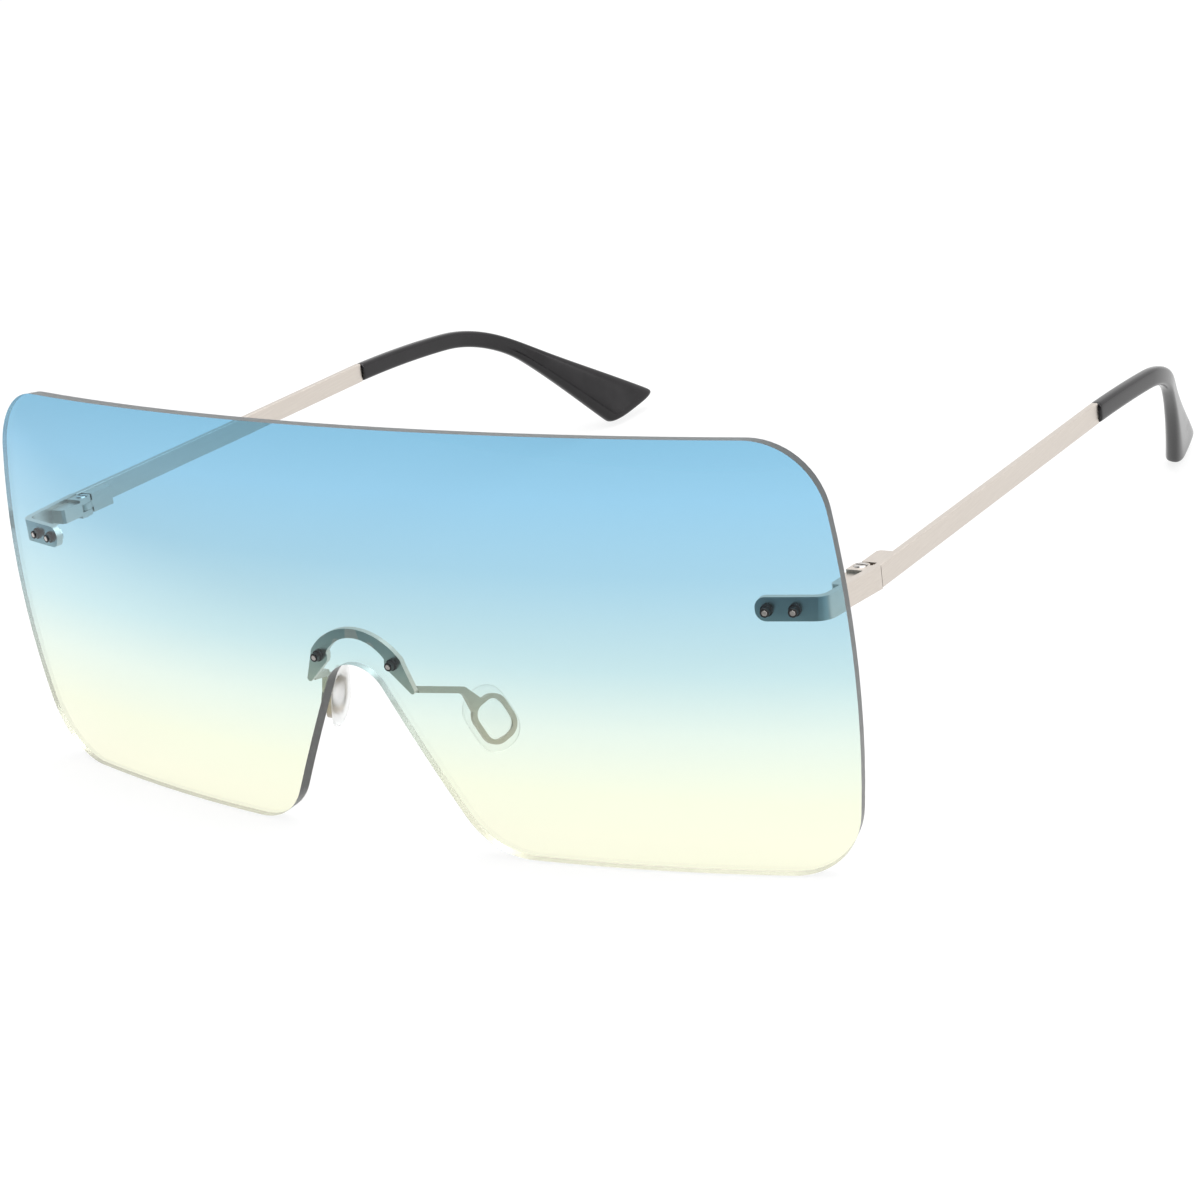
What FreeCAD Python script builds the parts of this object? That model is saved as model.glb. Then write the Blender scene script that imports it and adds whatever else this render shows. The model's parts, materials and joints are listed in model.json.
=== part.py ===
import FreeCAD, Part
import math
import os
from types import SimpleNamespace

import Sketcher

# Rimless shield sunglasses: one spherical lens carries a bridge with two nose pads and, at each side,
# an endpiece whose three-knuckle hinge holds a folding temple.
# The pieces are drawn in the wearing frame, with the origin on the lens's front face at mid-height,
# +X towards the wearer's left, +Y back along the temples and +Z up.
# At the end one common placement leans the whole pair back, until the lens and the tips stand on Z = 0.
# The wearer's left side is drawn, and the right side is its mirror image.

SIZES = {
    # The lens is part of a spherical shell. Its outline is drawn on the plane that touches the front
    # at its middle, and is cut along lines to the sphere's centre, so the edges are square to the faces.
    "lens_front_radius": 265.0,
    "lens_thickness": 2.15,
    "lens_top_half_width": 75.41,
    "lens_top_corner_height": 31.7,
    "lens_top_dip_angle": 0.39,
    "lens_bottom_half_width": 75.75,
    "lens_bottom_corner_drop": 31.7,
    "lens_side_swell_angle": 8.6,
    "lens_inner_half_width": 18.6,
    "lens_inner_corner_drop": 31.28,
    "lens_nose_apex_height": 3.07,
    "lens_top_corner_radius": 11.55,
    "lens_bottom_corner_radius": 11.3,
    "lens_inner_corner_radius": 11.4,
    "lens_nose_arch_radius": 5.7,
    "lens_blank_depth": 20.0,
    # Screws through the lens: a head behind the metal, and a tip just proud of the front.
    "lens_screw_radius": 0.5,
    "lens_screw_head_radius": 1.0,
    "lens_screw_head_height": 0.55,
    "lens_screw_tip_proud": 0.15,
    "lens_screw_edge_break": 0.15,
    # The bridge is an arched plate behind the lens, above the nose arch.
    "bridge_thickness": 0.8,
    "bridge_crown_height": 1.8,
    "bridge_band_width": 1.4,
    "bridge_arch_radius": 6.5,
    "bridge_screw_x": 6.65,
    "bridge_screw_drop": 2.85,
    "bridge_boss_radius": 1.5,
    "bridge_foot_x": 9.2,
    "bridge_foot_drop": 6.7,
    "bridge_foot_radius": 0.45,
    "bridge_depth": 6.0,
    # Each pad arm and its ring are one flat stamping that stands back from the bridge's foot.
    "pad_arm_thickness": 0.8,
    "pad_arm_height": 1.0,
    "pad_arm_reach": 7.2,
    "pad_arm_fall": 2.3,
    "pad_arm_root": 2.0,
    "pad_arm_splay_angle": 24.0,
    "pad_arm_flare_angle": 13.0,
    "pad_ring_reach": 10.5,
    "pad_ring_drop": 7.55,
    "pad_ring_width": 5.8,
    "pad_ring_height": 7.1,
    "pad_ring_rim": 0.7,
    "pad_ring_corner_radius": 2.4,
    "pad_ring_turn_angle": 20.0,
    # The silicone pad lies on the ring's nose side, and its boss fills the ring.
    "pad_width": 7.1,
    "pad_height": 10.1,
    "pad_corner_radius": 3.1,
    "pad_thickness": 1.5,
    "pad_edge_chamfer": 0.5,
    "pad_boss_proud": 0.3,
    # The endpiece is a flat strip, screwed to the lens and bent back to the hinge.
    "endpiece_thickness": 1.0,
    "endpiece_height": 3.3,
    "endpiece_middle_height": 7.7,
    "endpiece_plate_inset": 9.63,
    "endpiece_plate_inner_length": 3.6,
    "endpiece_screw_spacing": 3.8,
    "endpiece_bend_inset": 3.69,
    "endpiece_outer_inset": 2.49,
    "endpiece_bend_radius": 2.6,
    "endpiece_end_radius": 1.5,
    # The hinge: a fork soldered inside the endpiece, a knuckle soldered inside the temple, one screw.
    "hinge_pin_y": 23.65,
    "hinge_pin_inset": 2.77,
    "hinge_butt_setback": 0.45,
    "hinge_barrel_radius": 1.25,
    "hinge_height": 3.0,
    "hinge_fork_length": 5.6,
    "hinge_fork_leaf_height": 2.2,
    "hinge_fork_barrel_length": 1.75,
    "hinge_fork_chamfer": 0.4,
    "hinge_knuckle_height": 1.1,
    "hinge_leaf_length": 4.6,
    "hinge_leaf_inset": 0.6,
    "hinge_screw_radius": 0.6,
    "hinge_screw_head_radius": 0.95,
    "hinge_screw_head_height": 0.5,
    "hinge_screw_head_proud": 0.15,
    "hinge_screw_tip_proud": 0.4,
    "hinge_screw_slot_width": 0.3,
    "hinge_screw_slot_depth": 0.25,
    # The temple is a flat strip whose narrow core runs into the tip.
    "temple_thickness": 1.1,
    "temple_height": 3.2,
    "temple_length": 70.1,
    "temple_rise": 0.85,
    "temple_toe_in_angle": 1.33,
    "temple_edge_radius": 0.2,
    "temple_core_length": 12.0,
    "temple_core_height": 1.9,
    "temple_core_thickness": 0.7,
    # The moulded tip curves gently, bends down and inwards behind the ear, and flares to its end.
    "tip_width": 2.1,
    "tip_height": 3.15,
    "tip_corner_chamfer": 0.5,
    "tip_start_chamfer": 0.25,
    "tip_bend_height": 2.8,
    "tip_lead_radius": 225.0,
    "tip_lead_length": 22.0,
    "tip_bend_radius": 31.6,
    "tip_bend_angle": 38.4,
    "tip_bend_roll_angle": 28.8,
    "tip_tail_length": 27.1,
    "tip_flare_start": 39.4,
    "tip_end_height": 11.2,
    "tip_end_width": 3.1,
    "tip_end_slant_angle": 31.0,
    "tip_end_twist_angle": 9.4,
    "tip_end_round": 1.6,
    # Clearances.
    "seat_clearance": 0.02,
    "hole_clearance": 0.05,
    "running_clearance": 0.04,
    "knuckle_side_clearance": 0.05,
    "butt_gap": 0.06,
    "barrel_clearance": 0.2,
    "core_clearance": 0.05,
    "pad_clearance": 0.05,
    "cut_overrun": 1.0,
}
TIP_LEAD_STATIONS = 4
TIP_BEND_STATIONS = 4
TIP_TAIL_STATIONS = 5
TIP_FLARE_POWER = 1.49
REST_STEPS = 40
REST_STEEPEST_ANGLE = 30.0
FACET_SIZE_SHARE = 0.05
ON_LINE_SHARE = 0.001
DIAGONAL_SHARE = math.sqrt(0.5)
# The tip's rounded end, section by section: shares of its depth, height and width.
TIP_END_SHARES = ((0.5, 0.72, 0.95), (0.8, 0.45, 0.8), (1.0, 0.12, 0.4))


class Dim:
    """A length worked out from the named sizes: its value, and the same sum as an expression."""

    def __init__(self, value, text):
        self.value = value
        self.text = text

    def __add__(self, other):
        other = as_dim(other)
        return Dim(self.value + other.value, f"({self.text} + {other.text})")

    def __sub__(self, other):
        other = as_dim(other)
        return Dim(self.value - other.value, f"({self.text} - {other.text})")

    def __mul__(self, other):
        other = as_dim(other)
        return Dim(self.value * other.value, f"({self.text} * {other.text})")

    def __truediv__(self, other):
        other = as_dim(other)
        return Dim(self.value / other.value, f"({self.text} / {other.text})")

    def __rsub__(self, other):
        return as_dim(other) - self

    def __neg__(self):
        return Dim(-self.value, f"(0 - {self.text})")


def as_dim(term):
    return term if isinstance(term, Dim) else Dim(float(term), str(term))


def root(term):
    return Dim(math.sqrt(term.value), f"sqrt({term.text})")


def sine(angle):
    return Dim(math.sin(math.radians(angle.value)), f"sin({angle.text} * 1 deg)")


def cosine(angle):
    return Dim(math.cos(math.radians(angle.value)), f"cos({angle.text} * 1 deg)")


def bind(item, path, term):
    """Tie a property of a document object to a sum of named sizes."""
    item.setExpression(path, as_dim(term).text)


doc = FreeCAD.newDocument("ShieldSunglasses")
sheet = doc.addObject("Spreadsheet::Sheet", "Sizes")
for row, (alias, number) in enumerate(SIZES.items(), start=1):
    sheet.set(f"A{row}", alias)
    sheet.set(f"B{row}", str(number))
    sheet.setAlias(f"B{row}", alias)
doc.recompute()
size = SimpleNamespace(**{alias: Dim(number, f"Sizes.{alias}") for alias, number in SIZES.items()})
ZERO = as_dim(0)
V = FreeCAD.Vector
UP = V(0, 0, 1)


# Drawing helpers

def new_body(name):
    return doc.addObject("PartDesign::Body", name)


def new_sketch(body, role, name, lift=None):
    """A sketch on one of the body's own origin planes, lifted along the plane's normal."""
    plane = next(item for item in body.Origin.OriginFeatures if item.Role == role)
    sketch = body.newObject("Sketcher::SketchObject", name)
    sketch.AttachmentSupport = [(plane, "")]
    sketch.MapMode = "FlatFace"
    if lift is not None:
        bind(sketch, "AttachmentOffset.Base.z", lift)
    return sketch


def tie_point(sketch, edge, end, across, along):
    """Hold a point of the sketch at two sums of named sizes, measured from the sketch's origin."""
    for kind, axis, term in (("DistanceX", -2, across), ("DistanceY", -1, along)):
        if term is ZERO:
            sketch.addConstraint(Sketcher.Constraint("PointOnObject", edge, end, axis))
            continue
        index = sketch.addConstraint(Sketcher.Constraint(kind, -1, 1, edge, end, term.value))
        sketch.setExpression(f"Constraints[{index}]", term.text)


def draw_outline(sketch, corners, bulges=None):
    """Draw a closed outline. An edge with a bulge is an arc that stands so far to the left of its travel."""
    bulges = bulges or {}
    points = [V(across.value, along.value, 0) for across, along in corners]
    ends = []
    for number, start in enumerate(points):
        stop = points[(number + 1) % len(points)]
        if number not in bulges:
            ends.append((sketch.addGeometry(Part.LineSegment(start, stop)), 1, 2))
            continue
        run = stop - start
        side = V(-run.y, run.x, 0).normalize()
        middle = (start + stop) / 2 + side * bulges[number].value
        arc = sketch.addGeometry(Part.Arc(start, middle, stop))
        forward = (sketch.getPoint(arc, 1) - start).Length < run.Length / 2
        ends.append((arc, 1, 2) if forward else (arc, 2, 1))
    for number, (edge, first, last) in enumerate(ends):
        following, start, _ = ends[(number + 1) % len(ends)]
        sketch.addConstraint(Sketcher.Constraint("Coincident", edge, last, following, start))
        tie_point(sketch, edge, first, *corners[number])
    for number, rise in bulges.items():
        begin, finish = corners[number], corners[(number + 1) % len(corners)]
        across, along = finish[0] - begin[0], finish[1] - begin[1]
        rise = rise if rise.value > 0 else -rise
        radius = ((across * across + along * along) / 4 + rise * rise) / (rise * 2)
        tie_radius(sketch, ends[number][0], radius)
    return sketch


def tie_radius(sketch, edge, radius):
    index = sketch.addConstraint(Sketcher.Constraint("Radius", edge, radius.value))
    sketch.setExpression(f"Constraints[{index}]", radius.text)


def draw_circle(sketch, across, along, radius):
    edge = sketch.addGeometry(Part.Circle(V(across.value, along.value, 0), UP, radius.value))
    tie_point(sketch, edge, 3, across, along)
    tie_radius(sketch, edge, radius)
    return sketch


def extrude(body, kind, name, sketch, length, reverse=False):
    """Pad or pocket a sketch by a length, and check that a pocket did cut."""
    before = body.Shape.Volume if body.Tip else 0
    feature = body.newObject(f"PartDesign::{kind}", name)
    feature.Profile = sketch
    feature.Reversed = reverse
    bind(feature, "Length", length)
    doc.recompute()
    if kind == "Pocket" and feature.Shape.Volume >= before:
        raise ValueError(f"{name} cuts nothing")
    return feature


def loft(body, name, sketches, ruled):
    doc.recompute()
    feature = body.newObject("PartDesign::AdditiveLoft", name)
    feature.Profile = sketches[0]
    feature.Sections = sketches[1:]
    feature.Ruled = ruled
    doc.recompute()
    return feature


def edge_names(feature, lines):
    """Names of the edges that lie along one of the lines, each given by a point and a direction."""
    names = []
    for number, edge in enumerate(feature.Shape.Edges, start=1):
        near = edge.Length * ON_LINE_SHARE
        for point, along in lines:
            along = V(along).normalize()
            if all((corner.Point - point).cross(along).Length < near for corner in edge.Vertexes):
                names.append(f"Edge{number}")
                break
    return names


def finish_edges(body, kind, name, base, lines, amount):
    """Fillet or chamfer the edges of the base feature that lie along the lines."""
    names = edge_names(base, lines)
    if not names:
        raise ValueError(f"{name} finds no edge")
    feature = body.newObject(f"PartDesign::{kind}", name)
    feature.Base = (base, names)
    bind(feature, "Radius" if kind == "Fillet" else "Size", amount)
    doc.recompute()
    return feature


def upright_lines(corners):
    """Lines along a plan sketch's normal, through its corners."""
    return [(V(across.value, along.value, 0), UP) for across, along in corners]


def boolean(kind, name, base, tool):
    result = doc.addObject(f"Part::{kind}", name)
    result.Base = base
    result.Tool = tool
    doc.recompute()
    return result


def draw_rounded(sketch, width, height, radius):
    """A rectangle about the sketch's origin, with an arc of the radius at each corner."""
    corners = [(-width / 2, -height / 2), (width / 2, -height / 2),
               (width / 2, height / 2), (-width / 2, height / 2)]
    signs = ((1, 1), (-1, 1), (-1, -1), (1, -1))
    centres = [(across + radius * right, along + radius * up)
               for (across, along), (right, up) in zip(corners, signs)]
    sides = []
    for number, (right, up) in enumerate(signs):
        following = centres[(number + 1) % 4]
        centre = centres[number]
        outward = ((ZERO, -radius), (radius, ZERO), (ZERO, radius), (-radius, ZERO))[number]
        begin = (centre[0] + outward[0], centre[1] + outward[1])
        finish = (following[0] + outward[0], following[1] + outward[1])
        sides.append((begin, finish))
    lines = []
    for begin, finish in sides:
        edge = sketch.addGeometry(Part.LineSegment(V(begin[0].value, begin[1].value, 0),
                                                   V(finish[0].value, finish[1].value, 0)))
        tie_point(sketch, edge, 1, *begin)
        tie_point(sketch, edge, 2, *finish)
        lines.append(edge)
    for number, line in enumerate(lines):
        start, stop = sides[number - 1][1], sides[number][0]
        centre = V(centres[number][0].value, centres[number][1].value, 0)
        first = V(start[0].value, start[1].value, 0)
        last = V(stop[0].value, stop[1].value, 0)
        middle = centre + ((first + last) / 2 - centre).normalize() * radius.value
        arc = sketch.addGeometry(Part.Arc(first, middle, last))
        forward = (sketch.getPoint(arc, 1) - first).Length < radius.value
        head, tail = (1, 2) if forward else (2, 1)
        sketch.addConstraint(Sketcher.Constraint("Coincident", lines[number - 1], 2, arc, head))
        sketch.addConstraint(Sketcher.Constraint("Coincident", arc, tail, line, 1))
        tie_radius(sketch, arc, radius)
    return sketch


# Spheres about the lens's centre, and places on them

centre_y = size.lens_front_radius
rear_radius = size.lens_front_radius - size.lens_thickness
seat_radius = rear_radius - size.seat_clearance
bridge_rear_radius = seat_radius - size.bridge_thickness


def ball(name, radius):
    sphere = doc.addObject("Part::Sphere", name)
    bind(sphere, "Radius", radius)
    bind(sphere, "Placement.Base.y", centre_y)
    return sphere


def depth_at(across, height, radius):
    """How far back a sphere of this radius lies, at a place across and above the lens's middle."""
    return centre_y - root(radius * radius - across * across - height * height)


def seat_frame(across, height):
    """A frame on the lens's rear face: X outwards along the face, Z straight back from it."""
    level = root(rear_radius * rear_radius - height * height)
    slope = math.asin(across.value / level.value)
    tangent = V(math.cos(slope), math.sin(slope), 0)
    back = V(-math.sin(slope), math.cos(slope), 0)
    place = V(across.value, depth_at(across, height, rear_radius).value, height.value)
    return FreeCAD.Placement(place, FreeCAD.Rotation(tangent, V(), back, "ZXY"))


# Lens

def unit(run):
    length = root(run[0] * run[0] + run[1] * run[1])
    return run[0] / length, run[1] / length


def turned(direction, angle):
    across, along = direction
    return across * cosine(angle) - along * sine(angle), across * sine(angle) + along * cosine(angle)


def lens_outline(scale):
    """Corners and bulges of the lens, clockwise from the right of the wearer. Each corner is an arc."""
    top = (size.lens_top_half_width, size.lens_top_corner_height)
    low = (size.lens_bottom_half_width, -size.lens_bottom_corner_drop)
    inner = (size.lens_inner_half_width, -size.lens_inner_corner_drop)
    apex = (ZERO, size.lens_nose_apex_height)
    points = [(-top[0], top[1]), top, low, inner, apex, (-inner[0], inner[1]), (-low[0], low[1])]
    radii = [size.lens_top_corner_radius, size.lens_top_corner_radius, size.lens_bottom_corner_radius,
             size.lens_inner_corner_radius, size.lens_nose_arch_radius, size.lens_inner_corner_radius,
             size.lens_bottom_corner_radius]
    swells = {0: -size.lens_top_dip_angle, 1: size.lens_side_swell_angle, 6: size.lens_side_swell_angle}
    outline, bulges = [], {}
    for number, point in enumerate(points):
        before, after = points[number - 1], points[(number + 1) % len(points)]
        back = unit((before[0] - point[0], before[1] - point[1]))
        onward = unit((after[0] - point[0], after[1] - point[1]))
        if (number - 1) % len(points) in swells:
            back = turned(back, -swells[(number - 1) % len(points)])
        if number in swells:
            onward = turned(onward, swells[number])
        spread = back[0] * onward[0] + back[1] * onward[1]
        reach = radii[number] * root((spread + 1) / (1 - spread))
        rise = radii[number] * (1 - root((1 - spread) / 2))
        bulges[number * 2] = -rise * scale if point is apex else rise * scale
        for direction in (back, onward):
            place = (point[0] + direction[0] * reach, point[1] + direction[1] * reach)
            outline.append((place[0] * scale, place[1] * scale))
    for number, swell in swells.items():
        begin, finish = outline[number * 2 + 1], outline[(number * 2 + 2) % len(outline)]
        across, along = finish[0] - begin[0], finish[1] - begin[1]
        bulges[number * 2 + 1] = root(across * across + along * along) * sine(swell) / (cosine(swell) + 1) / 2
    return outline, bulges


def make_lens(holes):
    body = new_body("lens_blank")
    sketches = []
    for name, lift in (("front", size.cut_overrun), ("rear", -size.lens_blank_depth)):
        scale = (size.lens_front_radius + lift) / size.lens_front_radius
        sketch = new_sketch(body, "XZ_Plane", f"lens_outline_{name}", lift)
        sketches.append(draw_outline(sketch, *lens_outline(scale)))
    loft(body, "lens_blank_loft", sketches, ruled=True)
    front = ball("lens_front_sphere", size.lens_front_radius)
    rear = ball("lens_rear_sphere", rear_radius)
    shell = boolean("Cut", "lens_shell", front, rear)
    return boolean("Cut", "shield_lens", boolean("Common", "lens_without_holes", body, shell), holes)


# Screws through the lens

def make_screw(name, place, stack):
    """A screw whose head sits behind a stack of metal, with its tip proud of the lens's front."""
    body = new_body(name)
    tip = -(size.lens_thickness + size.lens_screw_tip_proud)
    under = stack + size.seat_clearance
    top = under + size.lens_screw_head_height
    shank, head, broken = size.lens_screw_radius, size.lens_screw_head_radius, size.lens_screw_edge_break
    profile = [(ZERO, tip), (shank - broken, tip), (shank, tip + broken), (shank, under), (head, under),
               (head, top), (ZERO, top)]
    revolve(body, f"{name}_turn", profile)
    body.Placement = place
    return body


def revolve(body, name, profile):
    """Turn a profile, given as radius and height, about the body's Z axis."""
    sketch = draw_outline(new_sketch(body, "XZ_Plane", f"{name}_profile"), profile)
    turn = body.newObject("PartDesign::Revolution", name)
    turn.Profile = sketch
    turn.ReferenceAxis = (sketch, ["V_Axis"])
    doc.recompute()
    return turn


def make_hole(name, place):
    """The drilled way of a lens screw, from well in front of the lens to well behind the metal."""
    drill = doc.addObject("Part::Cylinder", name)
    ahead = size.lens_thickness + size.cut_overrun
    bind(drill, "Radius", size.lens_screw_radius + size.hole_clearance)
    bind(drill, "Height", ahead + size.endpiece_thickness + size.cut_overrun)
    drill.Placement = place.multiply(FreeCAD.Placement(V(0, 0, -ahead.value), FreeCAD.Rotation()))
    return drill


def group(name, items):
    bundle = doc.addObject("Part::Compound", name)
    bundle.Links = items
    doc.recompute()
    return bundle


def mirrored(name, source):
    """The same piece on the other side of the wearer."""
    twin = doc.addObject("Part::Mirroring", name)
    twin.Source = source
    twin.Normal = V(1, 0, 0)
    doc.recompute()
    return twin


# The endpieces keep their distance from the line between the lens's upper and lower outer corners.
endpiece_level = size.endpiece_middle_height
corner_height = size.lens_top_corner_height + size.lens_bottom_corner_drop
side_lean = (size.lens_top_half_width - size.lens_bottom_half_width) / corner_height
lens_side_x = size.lens_bottom_half_width + side_lean * (endpiece_level + size.lens_bottom_corner_drop)
endpiece_plate_x = lens_side_x - size.endpiece_plate_inset
endpiece_bend_x = lens_side_x - size.endpiece_bend_inset
endpiece_outer_x = lens_side_x - size.endpiece_outer_inset
endpiece_middle = seat_frame(endpiece_plate_x, endpiece_level)
endpiece_screw_places = []
for side in (-1, 1):
    step = V(side * size.endpiece_screw_spacing.value / 2, 0, 0)
    endpiece_screw_places.append(endpiece_middle.multiply(FreeCAD.Placement(step, FreeCAD.Rotation())))
bridge_screw_place = seat_frame(size.bridge_screw_x, -size.bridge_screw_drop)

left_holes = [make_hole(f"left_hole_{number}", place)
              for number, place in enumerate(endpiece_screw_places + [bridge_screw_place], start=1)]
endpiece_holes = group("left_endpiece_holes", left_holes[:2])
left_drills = group("left_drills", left_holes)
drills = group("drills", [left_drills, mirrored("right_drills", left_drills)])
lens = make_lens(drills)


# Bridge

def towards_boss(boss, top, radius):
    """Where the line from the middle of an arc, of this top and radius, to a boss meets the arc."""
    middle = top - radius
    rise = boss[1] - middle
    span = root(boss[0] * boss[0] + rise * rise)
    return boss[0] * radius / span, middle + rise * radius / span


def make_bridge():
    body = new_body("bridge_blank")
    boss = (size.bridge_screw_x, -size.bridge_screw_drop)
    band_bottom = size.bridge_crown_height - size.bridge_band_width
    rise, reach = size.bridge_crown_height - boss[1], size.bridge_boss_radius
    crown_radius = (boss[0] * boss[0] + rise * rise - reach * reach) / ((rise - reach) * 2)
    outer = towards_boss(boss, size.bridge_crown_height, crown_radius)
    inner = towards_boss(boss, band_bottom, size.bridge_arch_radius)
    band = [(-outer[0], outer[1]), outer, inner, (-inner[0], inner[1])]
    bulges = {0: size.bridge_crown_height - outer[1], 2: inner[1] - band_bottom}
    sketch = draw_outline(new_sketch(body, "XZ_Plane", "bridge_band_outline"), band, bulges)
    extrude(body, "Pad", "bridge_band", sketch, size.bridge_depth, reverse=True)
    foot = (size.bridge_foot_x, -size.bridge_foot_drop)
    run = (foot[0] - boss[0], foot[1] - boss[1])
    length = root(run[0] * run[0] + run[1] * run[1])
    normal = (-run[1] / length, run[0] / length)
    for side in (1, -1):
        word = "left" if side > 0 else "right"
        for name, place, radius in (("boss", boss, size.bridge_boss_radius),
                                    ("foot", foot, size.bridge_foot_radius)):
            disc = draw_circle(new_sketch(body, "XZ_Plane", f"bridge_{word}_{name}_circle"),
                               place[0] * side, place[1], radius)
            extrude(body, "Pad", f"bridge_{word}_{name}", disc, size.bridge_depth, reverse=True)
        leg = []
        for place, reach in ((boss, size.bridge_boss_radius), (foot, size.bridge_foot_radius),
                             (foot, -size.bridge_foot_radius), (boss, -size.bridge_boss_radius)):
            leg.append(((place[0] + normal[0] * reach) * side, place[1] + normal[1] * reach))
        sketch = draw_outline(new_sketch(body, "XZ_Plane", f"bridge_{word}_leg_outline"), leg)
        extrude(body, "Pad", f"bridge_{word}_leg", sketch, size.bridge_depth, reverse=True)
    shell = boolean("Cut", "bridge_shell", ball("bridge_front_sphere", seat_radius),
                    ball("bridge_rear_sphere", bridge_rear_radius))
    return boolean("Cut", "bridge", boolean("Common", "bridge_without_holes", body, shell), drills)


# Pad arms and nose pads, drawn flat: X back along the arm, Y up, Z away from the nose

def pad_frame():
    splay = math.radians(size.pad_arm_splay_angle.value)
    flare = math.radians(size.pad_arm_flare_angle.value)
    back = V(math.sin(splay), math.cos(splay), 0)
    upward = V(-math.cos(splay) * math.sin(flare), math.sin(splay) * math.sin(flare), math.cos(flare))
    depth = depth_at(size.bridge_foot_x, size.bridge_foot_drop, bridge_rear_radius)
    place = V(size.bridge_foot_x.value, depth.value, -size.bridge_foot_drop.value)
    return FreeCAD.Placement(place, FreeCAD.Rotation(back, upward, V(), "XYZ"))


ring_middle = (size.pad_ring_reach, -size.pad_ring_drop)
ring_opening = (size.pad_ring_width - size.pad_ring_rim * 2, size.pad_ring_height - size.pad_ring_rim * 2)
ring_opening_radius = size.pad_ring_corner_radius - size.pad_ring_rim
ring_turn = FreeCAD.Rotation(UP, size.pad_ring_turn_angle.value)
arm_bottom = -size.pad_arm_thickness / 2


def ring_block(body, name, width, height, radius, bottom, length, kind="Pad"):
    """A rectangle with round corners, turned with the ring about its middle and extruded upwards."""
    sketch = new_sketch(body, "XY_Plane", f"{name}_outline")
    sketch.AttachmentOffset = FreeCAD.Placement(V(), ring_turn)
    for axis, term in zip("xyz", (*ring_middle, bottom)):
        bind(sketch, f"AttachmentOffset.Base.{axis}", term)
    draw_rounded(sketch, width, height, radius)
    return extrude(body, kind, name, sketch, length, reverse=kind == "Pocket")


def on_ring(across, along):
    """A place on the ring, given from its middle and turned with it."""
    across, along = turned((across, along), size.pad_ring_turn_angle)
    return ring_middle[0] + across, ring_middle[1] + along


def make_pad_arm():
    body = new_body("pad_arm_blank")
    ring_block(body, "pad_ring", size.pad_ring_width, size.pad_ring_height,
               size.pad_ring_corner_radius, arm_bottom, size.pad_arm_thickness)
    fall = size.pad_arm_fall / size.pad_arm_reach
    half = size.pad_arm_height / 2
    corner = size.pad_ring_corner_radius * (1 - as_dim(DIAGONAL_SHARE))
    ring_top = size.pad_ring_height / 2
    elbow = size.pad_arm_reach - half
    outline = [(-size.pad_arm_root, fall * size.pad_arm_root - half), (elbow, -fall * elbow - half),
               on_ring(corner - size.pad_ring_width / 2, ring_top - corner),
               on_ring(ZERO, ring_top - size.pad_ring_rim), on_ring(ZERO, ring_top),
               (size.pad_arm_reach, half - size.pad_arm_fall),
               (-size.pad_arm_root, fall * size.pad_arm_root + half)]
    sketch = draw_outline(new_sketch(body, "XY_Plane", "pad_arm_outline", arm_bottom), outline)
    strip = extrude(body, "Pad", "pad_arm_strip", sketch, size.pad_arm_thickness)
    finish_edges(body, "Fillet", "pad_arm_elbows", strip, upright_lines([outline[1], outline[5]]),
                 size.pad_arm_height)
    ring_block(body, "pad_ring_opening", *ring_opening, ring_opening_radius,
               arm_bottom, size.pad_arm_thickness, kind="Pocket")
    body.Placement = pad_frame()
    seat = ball("pad_arm_sphere", bridge_rear_radius - size.seat_clearance)
    return boolean("Common", "left_pad_arm", body, seat)


def make_nose_pad():
    body = new_body("left_nose_pad")
    seat = arm_bottom - size.pad_clearance
    bottom = seat - size.pad_thickness
    flange = ring_block(body, "pad_flange", size.pad_width, size.pad_height,
                        size.pad_corner_radius, bottom, size.pad_thickness)
    rim = [f"Edge{number}" for number, edge in enumerate(flange.Shape.Edges, start=1)
           if all(abs(corner.Z - bottom.value) < edge.Length * ON_LINE_SHARE for corner in edge.Vertexes)]
    soften = body.newObject("PartDesign::Chamfer", "pad_soft_edge")
    soften.Base = (flange, rim)
    bind(soften, "Size", size.pad_edge_chamfer)
    doc.recompute()
    gap = size.pad_clearance * 2
    ring_block(body, "pad_boss", ring_opening[0] - gap, ring_opening[1] - gap,
               ring_opening_radius - size.pad_clearance, seat,
               size.pad_arm_thickness + size.pad_clearance + size.pad_boss_proud)
    body.Placement = pad_frame()
    return body


# Endpiece, drawn in plan: a plate along the lens, then an arm that leans outwards to the butt

plate_y = depth_at(endpiece_plate_x, endpiece_level, rear_radius)
plate_sine = endpiece_plate_x / root(rear_radius * rear_radius - endpiece_level * endpiece_level)
plate_cosine = root(1 - plate_sine * plate_sine)
plate_slope = plate_sine / plate_cosine
butt_y = size.hinge_pin_y + size.hinge_butt_setback - size.butt_gap / 2
bend_y = plate_y + (endpiece_bend_x - endpiece_plate_x) * plate_slope
arm_lean = (endpiece_outer_x - endpiece_bend_x) / (butt_y - bend_y)
arm_wall = size.endpiece_thickness * root(arm_lean * arm_lean + 1)


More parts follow.
